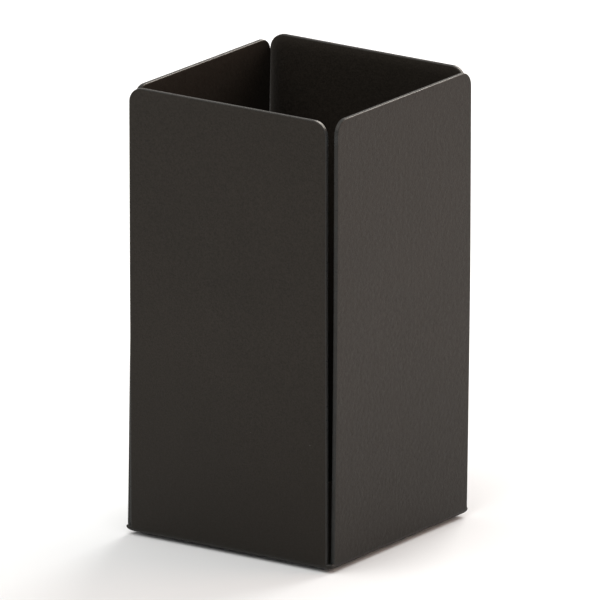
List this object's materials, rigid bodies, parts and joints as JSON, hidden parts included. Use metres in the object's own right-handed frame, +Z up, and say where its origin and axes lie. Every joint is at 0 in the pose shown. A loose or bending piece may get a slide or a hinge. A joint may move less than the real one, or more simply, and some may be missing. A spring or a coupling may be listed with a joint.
{
  "type": "napkin holder",
  "caption": "Open-topped square holder folded from coated sheet steel, with narrow open corner slits, rounded rim corners and round rubber feet.",
  "frame": {"origin": "middle of the footprint, on the surface that the holder stands on", "axes": "+Z up through the open top; +X towards the right wall; -Y towards the front wall"},
  "size_m": [0.081, 0.081, 0.149],
  "materials": {
    "coated_steel": "satin powder coat, fine grain",
    "foot_rubber": "matt rubber",
    "adhesive_film": "milky acrylic adhesive"
  },
  "bodies": {
    "root": {"folded_body": "coated_steel", "foot_front_left": "foot_rubber", "foot_front_right": "foot_rubber", "foot_rear_left": "foot_rubber", "foot_rear_right": "foot_rubber", "adhesive_front_left": "adhesive_film", "adhesive_front_right": "adhesive_film", "adhesive_rear_left": "adhesive_film", "adhesive_rear_right": "adhesive_film"}
  },
  "joints": []
}
